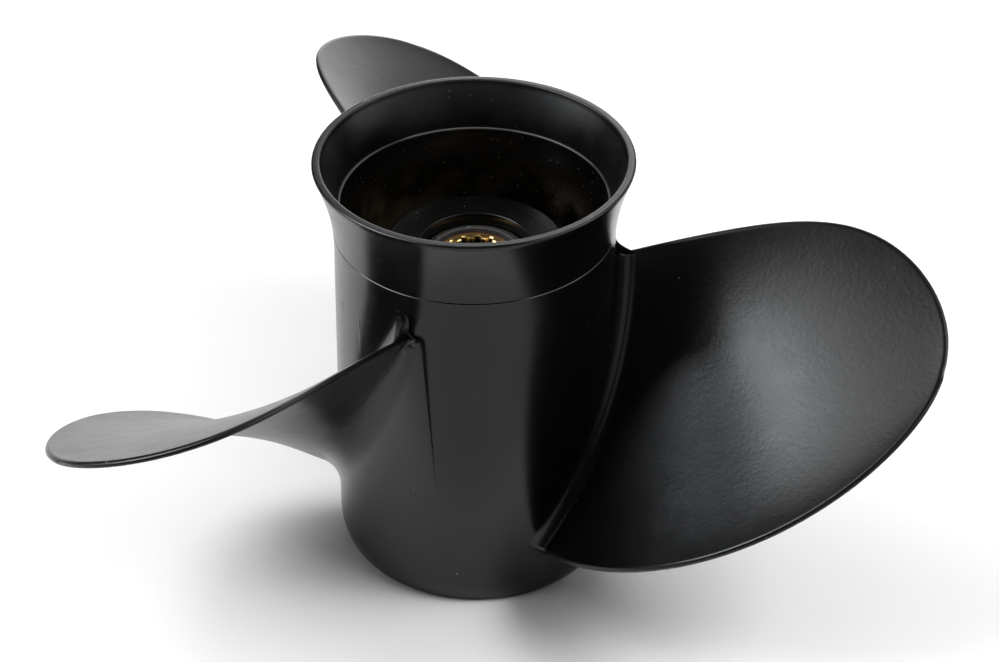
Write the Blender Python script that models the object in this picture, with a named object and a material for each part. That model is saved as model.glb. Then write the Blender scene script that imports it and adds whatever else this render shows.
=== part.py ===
"""Three-blade outboard propeller with its exhaust passing through the hub.

+Z is up and aft, the forward end of the barrel is on Z = 0 and the shaft's axis on Z.
Lengths are metres, angles degrees.
"""
import bpy
import bmesh
from math import cos, hypot, pi, radians, sin, sqrt, tan
from mathutils import Matrix, Vector

# Overall
BLADES = 3
LENGTH = 0.1662
TIP_RADIUS = 0.1746
FIT_GAP = 0.0003
SHARP_ANGLE = 35.0

# Barrel: a tapered tube, drawn in at its forward end and flared into a ring aft
BARREL_FORWARD_RADIUS = 0.0547
BARREL_AFT_RADIUS = 0.0515
BARREL_AFT_Z = 0.1300
FORWARD_END_RADIUS = 0.0522
FORWARD_END_DEPTH = 0.0095
WALL = 0.0038
FORWARD_WALL = 0.0053
BORE_TAPER_START_Z = 0.1100
FLARE_START_Z = 0.1340
FLARE_CURVE = 1.9
MOUTH_CURVE = 1.6
THROAT_Z = 0.1490
THROAT_RADIUS = 0.0485
THROAT_LEDGE = 0.0006
RIM_RADIUS = 0.0580
RIM_THICKNESS = 0.0032
BARREL_ROWS_Z = (0.0450, 0.0850, 0.1260)
BARREL_STEPS = 72

# Inner hub, which the bushing is pressed into, and the webs that carry it
HUB_RADIUS = 0.0325
HUB_FORWARD_Z = 0.0080
HUB_AFT_Z = 0.1290
HUB_BORE_RADIUS = 0.0201
HUB_STOP_RADIUS = 0.0170
HUB_STOP_LENGTH = 0.0060
HUB_NOSE_RADIUS = 0.0305
HUB_NOSE_LENGTH = 0.0100
HUB_CHAMFER = 0.0010
HUB_STEPS = 48
WEB_THICKNESS = 0.0060
WEB_FORWARD_Z = 0.0120
WEB_AFT_Z = 0.1130
WEB_SINK = 0.0030

# Rubber bushing and splined sleeve
BUSHING_AFT_Z = 0.1243
BUSHING_CHAMFER = 0.0010
BUSHING_LIP_RADIUS = 0.0170
BUSHING_LIP_HEIGHT = 0.0008
SLEEVE_RADIUS = 0.0155
SLEEVE_FORWARD_Z = 0.0030
SLEEVE_AFT_Z = 0.1240
SPLINE_TEETH = 15
SPLINE_ROOT_RADIUS = 0.0127
SPLINE_TOOTH_RADIUS = 0.0110
STEPS_PER_TOOTH = 4

# Blade: the pressure face is a screw surface. Each list below is a polynomial in
# the span fraction, 0 at ROOT_RADIUS and 1 at the tip.
ROOT_RADIUS = 0.0534
ROOT_ANGLE = -30.5
SKEW = (0.0, -5.9, 27.8, -12.3)
HALF_WIDTH = (33.4, 0.6, -22.1, 10.8, -7.2)
TIP_ROUNDNESS = 5.8
HEIGHT = (0.0722, 0.0441, 0.0143, -0.0126)
PITCH = (0.5402, -0.0815, 0.0529)
CAMBER = (0.0041, -0.0062, 0.0055, 0.0006)
REFLEX = (0.0039, -0.0103, 0.0017, 0.0026)
EDGE_THICKNESS = 0.0020
TIP_INSET = 0.0001
THICKNESS = (0.0046, 0.0060, -0.0084)
PRESSURE_FILLET = (0.0080, 0.0010, -0.0010)
SUCTION_FILLET = (0.0105, -0.0010, -0.0055)
END_FILLET_SHARE = 0.45
END_FILLET_WIDTH = 0.30
FILLET_STEPS = 5
FILLET_END_ANGLE = 8.0
ROOT_DEPTH = 0.0011
SPAN_STEPS = 18
CHORD_STEPS = 16
EDGE_CROWDING = 0.5

# Root pad: the straight-sided metal under each blade, where the mould draws forward
PAD_FADE_RADIUS = 0.0534
PAD_FADE_Z = 0.0530
PAD_DRAFT = 0.5
PAD_FORWARD_Z = 0.0300
PAD_AFT_Z = 0.1208
PAD_START_ANGLE = -61.0
PAD_END_ANGLE = 10.0
PAD_LEAN = 6.0
PAD_STEPS = 15
PAD_EDGE_FADE = 0.0028

# Corner gusset: the rib behind each trailing edge, which sinks into the barrel as it runs aft
GUSSET_AFT_Z = 0.1302
GUSSET_FORWARD_Z = 0.1225
GUSSET_TOP_ANGLE = -1.0
GUSSET_LEAN = 3.2
GUSSET_LEFT_WIDTH = 1.6
GUSSET_RIGHT_WIDTH = 5.6
GUSSET_HEIGHT = 0.0088
GUSSET_STEP = 0.0008
GUSSET_SINK = 0.0003
GUSSET_CREST_CURVE = 1.3
GUSSET_SIDE_CURVE = 1.5
GUSSET_COLUMNS = 4
GUSSET_ROWS = 5


def clear_scene():
    for old in list(bpy.data.objects):
        bpy.data.objects.remove(old, do_unlink=True)


def finish(name, color, metallic, roughness):
    """One Principled material."""
    material = bpy.data.materials.new(name)
    material.use_nodes = True
    shader = material.node_tree.nodes["Principled BSDF"]
    shader.inputs["Base Color"].default_value = (*color, 1.0)
    shader.inputs["Metallic"].default_value = metallic
    shader.inputs["Roughness"].default_value = roughness
    return material


def add_object(name, bm, material=None):
    """A bmesh made into an object of the scene, with its faces turned outwards."""
    bmesh.ops.recalc_face_normals(bm, faces=bm.faces[:])
    mesh = bpy.data.meshes.new(name)
    bm.to_mesh(mesh)
    bm.free()
    if material:
        mesh.materials.append(material)
    piece = bpy.data.objects.new(name, mesh)
    bpy.context.scene.collection.objects.link(piece)
    return piece


def turned(name, profile, steps, material=None):
    """A closed (radius, z) outline spun round the shaft's axis."""
    bm = bmesh.new()
    corners = [bm.verts.new((radius, 0.0, z)) for radius, z in profile]
    edges = [bm.edges.new((a, b)) for a, b in zip(corners, corners[1:] + corners[:1])]
    bmesh.ops.spin(bm, geom=corners + edges, cent=(0, 0, 0), axis=(0, 0, 1),
                   angle=2 * pi, steps=steps, use_merge=True)
    return add_object(name, bm, material)


def shade(piece):
    """Round faces shaded smooth, with the turned corners kept sharp."""
    piece.data.shade_smooth()
    piece.data.set_sharp_from_angle(angle=radians(SHARP_ANGLE))


def join(piece, other):
    """Fuses another object's shape into the piece and keeps the other as a guide."""
    other.hide_render = True
    other.display_type = "WIRE"
    union = piece.modifiers.new("fuse_" + other.name, "BOOLEAN")
    union.operation = "UNION"
    union.solver = "EXACT"
    union.object = other


def polynomial(terms, x):
    return sum(term * x ** power for power, term in enumerate(terms))


def barrel_radius(z):
    """Outer radius of the tapered part of the barrel."""
    return BARREL_FORWARD_RADIUS + (BARREL_AFT_RADIUS - BARREL_FORWARD_RADIUS) * z / BARREL_AFT_Z


def pad_radius(z):
    """Outer radius of the metal under a blade, which widens aft as the barrel narrows."""
    return PAD_FADE_RADIUS + (z - PAD_FADE_Z) * tan(radians(PAD_DRAFT))


def outer_wall(z):
    """The barrel's radius, or the pad's where it stands out further, down from its aft edge."""
    under_edge = min(max((PAD_AFT_Z - z) / PAD_EDGE_FADE, 0.0), 1.0)
    return barrel_radius(z) + max(pad_radius(z) - barrel_radius(z), 0.0) * under_edge


def barrel_outline():
    """The barrel's section: up the outside, over the rim and down the bore."""
    full_radius = barrel_radius(FORWARD_END_DEPTH)
    outside = []
    for step in range(5):
        rise = sin(radians(90 * step / 4))
        z = FORWARD_END_DEPTH * step / 4
        outside.append((FORWARD_END_RADIUS + (full_radius - FORWARD_END_RADIUS) * rise, z))
    outside += [(barrel_radius(z), z) for z in BARREL_ROWS_Z]
    rim_middle = LENGTH - RIM_THICKNESS / 2
    for step in range(6):
        rise = step / 6
        z = FLARE_START_Z + (rim_middle - FLARE_START_Z) * rise
        outside.append((BARREL_AFT_RADIUS + (RIM_RADIUS - BARREL_AFT_RADIUS) * rise ** FLARE_CURVE, z))
    lip_center = RIM_RADIUS - RIM_THICKNESS / 2
    rim = [(lip_center + RIM_THICKNESS / 2 * cos(radians(a)),
            rim_middle + RIM_THICKNESS / 2 * sin(radians(a))) for a in (0, 45, 90, 135, 180)]
    inside = []
    lip_inner = RIM_RADIUS - RIM_THICKNESS
    ledge_radius = THROAT_RADIUS + THROAT_LEDGE
    for step in range(1, 5):
        drop = step / 4
        z = rim_middle + (THROAT_Z - rim_middle) * drop
        inside.append((ledge_radius + (lip_inner - ledge_radius) * (1 - drop) ** MOUTH_CURVE, z))
    inside += [(THROAT_RADIUS, THROAT_Z),
               (barrel_radius(BORE_TAPER_START_Z) - WALL, BORE_TAPER_START_Z),
               (barrel_radius(0.0) - FORWARD_WALL, 0.0)]
    return outside + rim + inside


def hub_outline():
    """The inner hub's section: a thick tube with a stop for the bushing forward."""
    bore_start = HUB_FORWARD_Z + HUB_STOP_LENGTH
    return [(HUB_STOP_RADIUS, HUB_FORWARD_Z), (HUB_NOSE_RADIUS, HUB_FORWARD_Z),
            (HUB_RADIUS, HUB_FORWARD_Z + HUB_NOSE_LENGTH), (HUB_RADIUS, HUB_AFT_Z - HUB_CHAMFER),
            (HUB_RADIUS - HUB_CHAMFER, HUB_AFT_Z), (HUB_BORE_RADIUS, HUB_AFT_Z),
            (HUB_BORE_RADIUS, bore_start), (HUB_STOP_RADIUS, bore_start)]


def web(index):
    """One web between the inner hub and the barrel, under the root of a blade."""
    inner = HUB_RADIUS - WEB_SINK
    outer = barrel_radius(WEB_FORWARD_Z) - WEB_SINK
    bm = bmesh.new()
    bmesh.ops.create_cube(bm, size=1.0)
    bmesh.ops.scale(bm, verts=bm.verts, vec=(outer - inner, WEB_THICKNESS, WEB_AFT_Z - WEB_FORWARD_Z))
    bmesh.ops.translate(bm, verts=bm.verts, vec=((outer + inner) / 2, 0, (WEB_AFT_Z + WEB_FORWARD_Z) / 2))
    angle = radians(ROOT_ANGLE + 360 * index / BLADES)
    bmesh.ops.rotate(bm, verts=bm.verts, cent=(0, 0, 0), matrix=Matrix.Rotation(angle, 3, "Z"))
    return add_object(f"web_{index + 1}", bm)


def pressure_face(span, chord):
    """Point of the blade's aft face. chord is -1 at the leading edge, 1 at the trailing."""
    x = max(span, 0.0)
    half_width = radians(polynomial(HALF_WIDTH, x)) * sqrt(max(1 - x ** TIP_ROUNDNESS, 0.0))
    relative_width = half_width / radians(HALF_WIDTH[0])
    angle = radians(ROOT_ANGLE + polynomial(SKEW, x)) + chord * half_width
    z = polynomial(HEIGHT, span) + polynomial(PITCH, x) / (2 * pi) * chord * half_width
    z += polynomial(CAMBER, x) * (chord ** 2 - 1) * relative_width
    z += polynomial(REFLEX, x) * (chord ** 3 - chord) * relative_width
    radius = ROOT_RADIUS + (TIP_RADIUS - ROOT_RADIUS) * span
    return Vector((radius * cos(angle), radius * sin(angle), z))


def face_normal(span, chord):
    """Unit normal of the aft face, on its aft side."""
    step = 0.002
    inner = min(span, 0.98)
    along = pressure_face(inner + step, chord) - pressure_face(inner - step, chord)
    across = pressure_face(inner, chord + step) - pressure_face(inner, chord - step)
    return along.cross(across).normalized()


def thickness(span, chord):
    """Depth of the blade under its aft face."""
    middle = polynomial(THICKNESS, max(span, 0.0))
    return EDGE_THICKNESS + (middle - EDGE_THICKNESS) * (1 - chord ** 2)


def fillet_station(row, radius):
    """Height above the barrel and reach along it of one row of the root's fillet."""
    end = radians(FILLET_END_ANGLE)
    if row < 2:
        height = (-ROOT_DEPTH, -2 * radius * (1 - cos(end)))[row]
        return height, radius * (1 - sin(end)) + 3 * radius * (1 - cos(end)) / tan(end)
    turn = end + (pi / 2 - end) * (row - 2) / FILLET_STEPS
    return radius * (1 - cos(turn)), radius * (1 - sin(turn))


def root_spread(point, normal, chord, forward_side):
    """Which way the fillet runs out over the wall: off the face, and past the blade's ends."""
    outward = Vector((point.x, point.y, 0)).normalized()
    off_face = (normal - outward * normal.dot(outward)).normalized()
    ahead = outward.cross(off_face)
    if ahead.z < 0:
        ahead = -ahead
    end = min(max((abs(chord) - 1) / END_FILLET_WIDTH + 1, 0.0), 1.0)
    share = END_FILLET_SHARE * end ** 2 * (3 - 2 * end)
    if forward_side == (chord > 0):
        return off_face
    return off_face + ahead * (share if chord > 0 else -share)


def onto_wall(point, spread, wall, height, fillet):
    """The point moved along the round wall, and set at its height over it near the foot."""
    radius = hypot(point.x, point.y)
    around = Vector((-point.y, point.x, 0)) / radius
    moved = Matrix.Rotation(spread.dot(around) / radius, 3, "Z") @ point
    moved.z += spread.z
    foot_share = 1 - min(max(height / fillet, 0.0), 1.0)
    outward = Vector((moved.x, moved.y, 0)) / radius
    return moved + outward * (wall(moved.z) + height - radius) * foot_share


def blade_point(row, chord, forward_side):
    """Point of the blade's skin in a row from inside the barrel's wall to the tip."""
    wall = outer_wall if forward_side else barrel_radius
    fillet = polynomial(SUCTION_FILLET if forward_side else PRESSURE_FILLET, chord)
    rows_in_fillet = FILLET_STEPS + 2
    height, reach = fillet_station(min(row, rows_in_fillet), fillet)
    radius = wall(pressure_face(0.0, chord).z) + height
    if row > rows_in_fillet:
        run = (row - rows_in_fillet) / SPAN_STEPS
        radius += (TIP_RADIUS - TIP_INSET - radius) * (2 * run - run ** 2)
    span = (radius - ROOT_RADIUS) / (TIP_RADIUS - ROOT_RADIUS)
    point = pressure_face(span, chord)
    normal = face_normal(span, chord)
    if forward_side:
        point -= normal * thickness(span, chord)
        normal = -normal
    spread = root_spread(point, normal, chord, forward_side) * reach
    return onto_wall(point, spread, wall, height, fillet)


def blade(index):
    """One blade: the aft face as a sheet, extruded to its forward side."""
    rows = FILLET_STEPS + 2 + SPAN_STEPS
    bm = bmesh.new()
    bmesh.ops.create_grid(bm, x_segments=CHORD_STEPS, y_segments=rows, size=1.0)
    extruded = bmesh.ops.extrude_face_region(bm, geom=bm.faces[:])
    forward_side = {item for item in extruded["geom"] if isinstance(item, bmesh.types.BMVert)}
    for vert in bm.verts:
        chord = sin(vert.co.x * pi / 2) * EDGE_CROWDING + vert.co.x * (1 - EDGE_CROWDING)
        vert.co = blade_point(round((vert.co.y + 1) / 2 * rows), chord, vert in forward_side)
    angle = 2 * pi * index / BLADES
    bmesh.ops.rotate(bm, verts=bm.verts, cent=(0, 0, 0), matrix=Matrix.Rotation(angle, 3, "Z"))
    return add_object(f"blade_{index + 1}", bm)


def root_pad(index):
    """The metal under one blade, from inside the barrel's wall out to the pad's radius."""
    inner = BARREL_AFT_RADIUS - WALL / 2
    bm = bmesh.new()
    bmesh.ops.create_grid(bm, x_segments=PAD_STEPS, y_segments=1, size=1.0)
    extruded = bmesh.ops.extrude_face_region(bm, geom=bm.faces[:])
    outer_side = {item for item in extruded["geom"] if isinstance(item, bmesh.types.BMVert)}
    for vert in bm.verts:
        degrees = PAD_START_ANGLE + (PAD_END_ANGLE - PAD_START_ANGLE) * (vert.co.x + 1) / 2
        chord = (degrees - ROOT_ANGLE) / HALF_WIDTH[0]
        top = min(PAD_AFT_Z, pressure_face(0.0, chord).z - EDGE_THICKNESS)
        z = PAD_FORWARD_Z if vert.co.y < 0 else top
        if vert.co.y < 0:
            degrees += PAD_LEAN
        radius = pad_radius(z) if vert in outer_side else inner
        vert.co = (radius * cos(radians(degrees)), radius * sin(radians(degrees)), z)
    angle = 2 * pi * index / BLADES
    bmesh.ops.rotate(bm, verts=bm.verts, cent=(0, 0, 0), matrix=Matrix.Rotation(angle, 3, "Z"))
    return add_object(f"root_pad_{index + 1}", bm)


def corner_gusset(index):
    """The rib behind one trailing edge: a crest that sinks into the barrel, with sloping sides."""
    inner = BARREL_AFT_RADIUS - WALL / 2
    bm = bmesh.new()
    bmesh.ops.create_grid(bm, x_segments=GUSSET_COLUMNS, y_segments=GUSSET_ROWS, size=1.0)
    extruded = bmesh.ops.extrude_face_region(bm, geom=bm.faces[:])
    outer_side = {item for item in extruded["geom"] if isinstance(item, bmesh.types.BMVert)}
    for vert in bm.verts:
        down = (1 - vert.co.y) / 2
        z = GUSSET_AFT_Z - (GUSSET_AFT_Z - GUSSET_FORWARD_Z) * down
        width = GUSSET_LEFT_WIDTH
        if vert.co.x > 0:
            width += (GUSSET_RIGHT_WIDTH - GUSSET_LEFT_WIDTH) * (1 - down)
        degrees = GUSSET_TOP_ANGLE + GUSSET_LEAN * down + width * vert.co.x
        radius = inner
        if vert in outer_side:
            crest = GUSSET_STEP + (GUSSET_HEIGHT - GUSSET_STEP) * down ** GUSSET_CREST_CURVE
            rise = (crest + GUSSET_SINK) * (1 - abs(vert.co.x)) ** GUSSET_SIDE_CURVE
            radius = barrel_radius(z) - GUSSET_SINK + rise
        vert.co = (radius * cos(radians(degrees)), radius * sin(radians(degrees)), z)
    angle = 2 * pi * index / BLADES
    bmesh.ops.rotate(bm, verts=bm.verts, cent=(0, 0, 0), matrix=Matrix.Rotation(angle, 3, "Z"))
    return add_object(f"corner_gusset_{index + 1}", bm)


def casting(material):
    """Barrel, inner hub, webs, root pads, gussets and blades, poured as one piece."""
    piece = turned("propeller_casting", barrel_outline(), BARREL_STEPS, material)
    join(piece, turned("inner_hub", hub_outline(), HUB_STEPS))
    for index in range(BLADES):
        join(piece, web(index))
        join(piece, root_pad(index))
        join(piece, corner_gusset(index))
        join(piece, blade(index))
    shade(piece)
    return piece


def bushing(material):
    """Rubber ring pressed between the inner hub and the sleeve."""
    outer = HUB_BORE_RADIUS - FIT_GAP
    inner = SLEEVE_RADIUS + FIT_GAP
    forward = HUB_FORWARD_Z + HUB_STOP_LENGTH + FIT_GAP
    lip_top = BUSHING_AFT_Z + BUSHING_LIP_HEIGHT
    outline = [(inner, forward), (outer, forward), (outer, BUSHING_AFT_Z - BUSHING_CHAMFER),
               (outer - BUSHING_CHAMFER, BUSHING_AFT_Z), (BUSHING_LIP_RADIUS, BUSHING_AFT_Z),
               (BUSHING_LIP_RADIUS, lip_top), (inner, lip_top)]
    piece = turned("rubber_bushing", outline, HUB_STEPS, material)
    shade(piece)
    return piece


def sleeve(material):
    """Brass sleeve with the straight splines that the propeller shaft drives."""
    bm = bmesh.new()
    count = SPLINE_TEETH * STEPS_PER_TOOTH
    outer = [bm.verts.new((SLEEVE_RADIUS * cos(2 * pi * i / count),
                           SLEEVE_RADIUS * sin(2 * pi * i / count), SLEEVE_FORWARD_Z))
             for i in range(count)]
    inner = []
    for i in range(count):
        radius = SPLINE_TOOTH_RADIUS if i % STEPS_PER_TOOTH < 2 else SPLINE_ROOT_RADIUS
        angle = 2 * pi * i / count
        inner.append(bm.verts.new((radius * cos(angle), radius * sin(angle), SLEEVE_FORWARD_Z)))
    for ring in (outer, inner):
        for a, b in zip(ring, ring[1:] + ring[:1]):
            bm.edges.new((a, b))
    end_face = bmesh.ops.bridge_loops(bm, edges=bm.edges[:])["faces"]
    raised = bmesh.ops.extrude_face_region(bm, geom=end_face)
    top = [item for item in raised["geom"] if isinstance(item, bmesh.types.BMVert)]
    bmesh.ops.translate(bm, verts=top, vec=(0, 0, SLEEVE_AFT_Z - SLEEVE_FORWARD_Z))
    piece = add_object("splined_sleeve", bm, material)
    shade(piece)
    return piece


clear_scene()
casting(finish("black_paint", (0.018, 0.019, 0.020), 0.0, 0.38))
bushing(finish("black_rubber", (0.045, 0.045, 0.045), 0.0, 0.75))
sleeve(finish("brass", (0.62, 0.40, 0.13), 1.0, 0.32))
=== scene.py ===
"""The looks of a three-blade outboard propeller whose exhaust passes through its hub.

Lengths are metres and angles degrees. +Z runs aft along the shaft, and the propeller
stands on the forward end of its barrel.
"""
from math import cos, hypot, pi, radians, sin, sqrt, tan

import bmesh
import bpy
from mathutils import Matrix, Vector


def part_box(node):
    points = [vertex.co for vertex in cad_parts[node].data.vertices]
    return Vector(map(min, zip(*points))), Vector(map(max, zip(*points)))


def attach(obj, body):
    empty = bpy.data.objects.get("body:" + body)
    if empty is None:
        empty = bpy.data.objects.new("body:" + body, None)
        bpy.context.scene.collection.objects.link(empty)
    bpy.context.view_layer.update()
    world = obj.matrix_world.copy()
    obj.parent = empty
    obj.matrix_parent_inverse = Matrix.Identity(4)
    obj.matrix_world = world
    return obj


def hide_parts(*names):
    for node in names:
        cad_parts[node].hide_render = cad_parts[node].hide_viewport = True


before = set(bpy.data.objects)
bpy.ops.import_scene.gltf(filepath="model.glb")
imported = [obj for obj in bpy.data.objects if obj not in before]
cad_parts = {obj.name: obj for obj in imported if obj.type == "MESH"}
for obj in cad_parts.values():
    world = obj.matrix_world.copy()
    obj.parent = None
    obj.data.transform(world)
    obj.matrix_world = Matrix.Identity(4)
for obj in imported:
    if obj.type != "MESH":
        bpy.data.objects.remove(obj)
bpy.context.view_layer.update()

# The barrel
# A tapered tube of cast aluminium, drawn in at its forward end. Aft of a turned groove it
# flares into a thick-lipped ring, which keeps the exhaust from being drawn into the blades.
BLADES = 3
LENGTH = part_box("propeller_casting")[1].z
BARREL_FORWARD_RADIUS = 0.0547
BARREL_AFT_RADIUS = 0.0515
BARREL_AFT_Z = 0.1300
BARREL_ROWS_Z = (0.020, 0.035, 0.045, 0.050, 0.053, 0.056, 0.060, 0.080, 0.100, 0.120, 0.130)
BARREL_STEPS = 240
WALL = 0.0038
FORWARD_WALL = 0.0053
FORWARD_END_RADIUS = 0.0522
FORWARD_END_DEPTH = 0.0095
FORWARD_END_CHAMFER = 0.0004
FORWARD_END_STEPS = 12
FLARE_START_Z = 0.1340
FLARE_CURVE = 1.9
FLARE_STEPS = 16
GROOVE_Z = 0.1382
GROOVE_WIDTH = 0.0005
GROOVE_DEPTH = 0.0003
GROOVE_MARGIN = 0.0020
RIM_RADIUS = 0.0580
RIM_THICKNESS = 0.0032
RIM_ROUNDING = 0.0007
RIM_FLAT_INSET = 0.0001
RIM_STEPS = 5
MOUTH_TOP_Z = LENGTH - RIM_ROUNDING
MOUTH_RADIUS = RIM_RADIUS - RIM_THICKNESS
MOUTH_CURVE = 1.6
MOUTH_STEPS = 12
THROAT_Z = 0.1490
THROAT_RADIUS = 0.0485
THROAT_LEDGE = 0.0006
LEDGE_ROUNDING = 0.0003
BORE_TAPER_START_Z = 0.1100
BORE_OPENING = ((0.0002, 0.002), (0.0007, 0.0))


def barrel_radius(z):
    """Outer radius of the tapered part of the barrel."""
    return BARREL_FORWARD_RADIUS + (BARREL_AFT_RADIUS - BARREL_FORWARD_RADIUS) * z / BARREL_AFT_Z


def flare_radius(z):
    """Outer radius of the flare, which leaves the barrel without a corner."""
    rise = max(z - FLARE_START_Z, 0.0) / (MOUTH_TOP_Z - FLARE_START_Z)
    return BARREL_AFT_RADIUS + (RIM_RADIUS - BARREL_AFT_RADIUS) * rise ** FLARE_CURVE


def arc(center_radius, center_z, radius, start, end, steps):
    """Points of an arc in the (radius, z) section."""
    turns = [radians(start + (end - start) * step / steps) for step in range(steps + 1)]
    return [(center_radius + radius * cos(turn), center_z + radius * sin(turn)) for turn in turns]


def barrel_outside():
    """The section up the outside, from the drawn-in forward end to the rim."""
    full_radius = barrel_radius(FORWARD_END_DEPTH)
    outside = [(FORWARD_END_RADIUS - FORWARD_END_CHAMFER, 0.0)]
    for step in range(1, FORWARD_END_STEPS + 1):
        rise = step / FORWARD_END_STEPS
        turn = radians(90 * rise)
        outside.append((FORWARD_END_RADIUS + (full_radius - FORWARD_END_RADIUS) * sin(turn),
                        FORWARD_END_DEPTH * (1 - cos(turn) + rise) / 2))
    outside += [(barrel_radius(z), z) for z in BARREL_ROWS_Z]
    half = GROOVE_WIDTH / 2
    outside += [(flare_radius(FLARE_START_Z), FLARE_START_Z),
                (flare_radius(GROOVE_Z - half), GROOVE_Z - half),
                (flare_radius(GROOVE_Z) - GROOVE_DEPTH, GROOVE_Z),
                (flare_radius(GROOVE_Z + half), GROOVE_Z + half)]
    first = GROOVE_Z + GROOVE_MARGIN
    rows = [first + (MOUTH_TOP_Z - first) * step / FLARE_STEPS for step in range(FLARE_STEPS)]
    return outside + [(flare_radius(z), z) for z in rows]


def barrel_lip():
    """The section over the rim: a flat end between two rounded corners."""
    outer = RIM_RADIUS - RIM_ROUNDING
    inner = MOUTH_RADIUS + RIM_ROUNDING
    flat = [(outer - RIM_FLAT_INSET, LENGTH), (inner + RIM_FLAT_INSET, LENGTH)]
    return (arc(outer, MOUTH_TOP_Z, RIM_ROUNDING, 0, 90, RIM_STEPS) + flat
            + arc(inner, MOUTH_TOP_Z, RIM_ROUNDING, 90, 180, RIM_STEPS))


def barrel_inside():
    """The section down the flared mouth, over a small ledge and down the tapered bore."""
    ledge_radius = THROAT_RADIUS + THROAT_LEDGE
    inside = []
    for step in range(1, MOUTH_STEPS + 1):
        drop = step / MOUTH_STEPS
        inside.append((ledge_radius + (MOUTH_RADIUS - ledge_radius) * (1 - drop) ** MOUTH_CURVE,
                       MOUTH_TOP_Z + (THROAT_Z - MOUTH_TOP_Z) * drop))
    inside += arc(THROAT_RADIUS + LEDGE_ROUNDING, THROAT_Z - LEDGE_ROUNDING, LEDGE_ROUNDING, 90, 180, 4)
    bore_top = barrel_radius(BORE_TAPER_START_Z) - WALL
    bore_end = barrel_radius(0.0) - FORWARD_WALL
    inside += [(bore_top, BORE_TAPER_START_Z), ((bore_top + bore_end) / 2, BORE_TAPER_START_Z / 2)]
    return inside + [(bore_end + wider, z) for wider, z in BORE_OPENING]


def placed(name, bm):
    """The mesh as an object, with its faces turned outwards."""
    bmesh.ops.recalc_face_normals(bm, faces=bm.faces[:])
    mesh = bpy.data.meshes.new(name)
    bm.to_mesh(mesh)
    bm.free()
    piece = bpy.data.objects.new(name, mesh)
    bpy.context.scene.collection.objects.link(piece)
    return piece


def turned(name, outline, steps):
    """A closed (radius, z) outline spun round the shaft's axis."""
    bm = bmesh.new()
    corners = [bm.verts.new((radius, 0.0, z)) for radius, z in outline]
    edges = [bm.edges.new(pair) for pair in zip(corners, corners[1:] + corners[:1])]
    bmesh.ops.spin(bm, geom=corners + edges, cent=(0, 0, 0), axis=(0, 0, 1),
                   angle=2 * pi, steps=steps, use_merge=True)
    return placed(name, bm)


casting = turned("painted_casting", barrel_outside() + barrel_lip() + barrel_inside(), BARREL_STEPS)

# The inner hub and its webs
# A thick tube in the middle of the barrel, held by three tapered webs that stand under the
# roots of the blades. The exhaust leaves between them. It is poured with the barrel.
HUB_RADIUS = 0.0325
HUB_FORWARD_Z = 0.0080
HUB_AFT_Z = 0.1290
HUB_NOSE_RADIUS = 0.0305
HUB_NOSE_LENGTH = 0.0100
HUB_ROUNDING = 0.0005
HUB_FLAT_INSET = 0.0002
HUB_BORE_RADIUS = 0.0201
HUB_BORE_ROUNDING = 0.0004
HUB_STOP_RADIUS = 0.0170
HUB_STOP_LENGTH = 0.0060
HUB_STEPS = 144
WEB_THICKNESS = 0.0060
WEB_FORWARD_Z = 0.0120
WEB_AFT_Z = 0.1130
WEB_FILLET = 0.0040
WEB_FILLET_RUN = 0.8
WEB_SINK = 0.0030
WEB_OUTER_SINK = 0.0010
WEB_MIDDLE_Z = 0.0600
WEB_COLUMNS = 24
WEB_ROWS = 6
ROOT_ANGLE = -30.5


def hub_outline():
    """The inner hub's section, with a stop for the rubber ring at its forward end."""
    bore_start = HUB_FORWARD_Z + HUB_STOP_LENGTH
    outer = HUB_RADIUS - HUB_ROUNDING
    inner = HUB_BORE_RADIUS + HUB_BORE_ROUNDING
    outline = [(HUB_STOP_RADIUS, HUB_FORWARD_Z)]
    outline += arc(HUB_NOSE_RADIUS - HUB_ROUNDING, HUB_FORWARD_Z + HUB_ROUNDING, HUB_ROUNDING, -90, -10, 4)
    outline += [(HUB_RADIUS, HUB_FORWARD_Z + HUB_NOSE_LENGTH)]
    outline += arc(outer, HUB_AFT_Z - HUB_ROUNDING, HUB_ROUNDING, 0, 90, 6)
    outline += [(outer - HUB_FLAT_INSET, HUB_AFT_Z), (inner + HUB_FLAT_INSET, HUB_AFT_Z)]
    outline += arc(inner, HUB_AFT_Z - HUB_BORE_ROUNDING, HUB_BORE_ROUNDING, 90, 180, 3)
    return outline + [(HUB_BORE_RADIUS, bore_start), (HUB_STOP_RADIUS, bore_start)]


def slab(columns, rows):
    """A flat sheet of many faces, extruded once, and the corners on its far side."""
    bm = bmesh.new()
    bmesh.ops.create_grid(bm, x_segments=columns, y_segments=rows, size=1.0)
    raised = bmesh.ops.extrude_face_region(bm, geom=bm.faces[:])
    return bm, {item for item in raised["geom"] if isinstance(item, bmesh.types.BMVert)}


def swung(name, bm, degrees):
    """The mesh as an object, swung round the shaft's axis to its own place."""
    turn = Matrix.Rotation(radians(degrees), 3, "Z")
    bmesh.ops.rotate(bm, verts=bm.verts, cent=(0, 0, 0), matrix=turn)
    return placed(name, bm)


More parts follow.
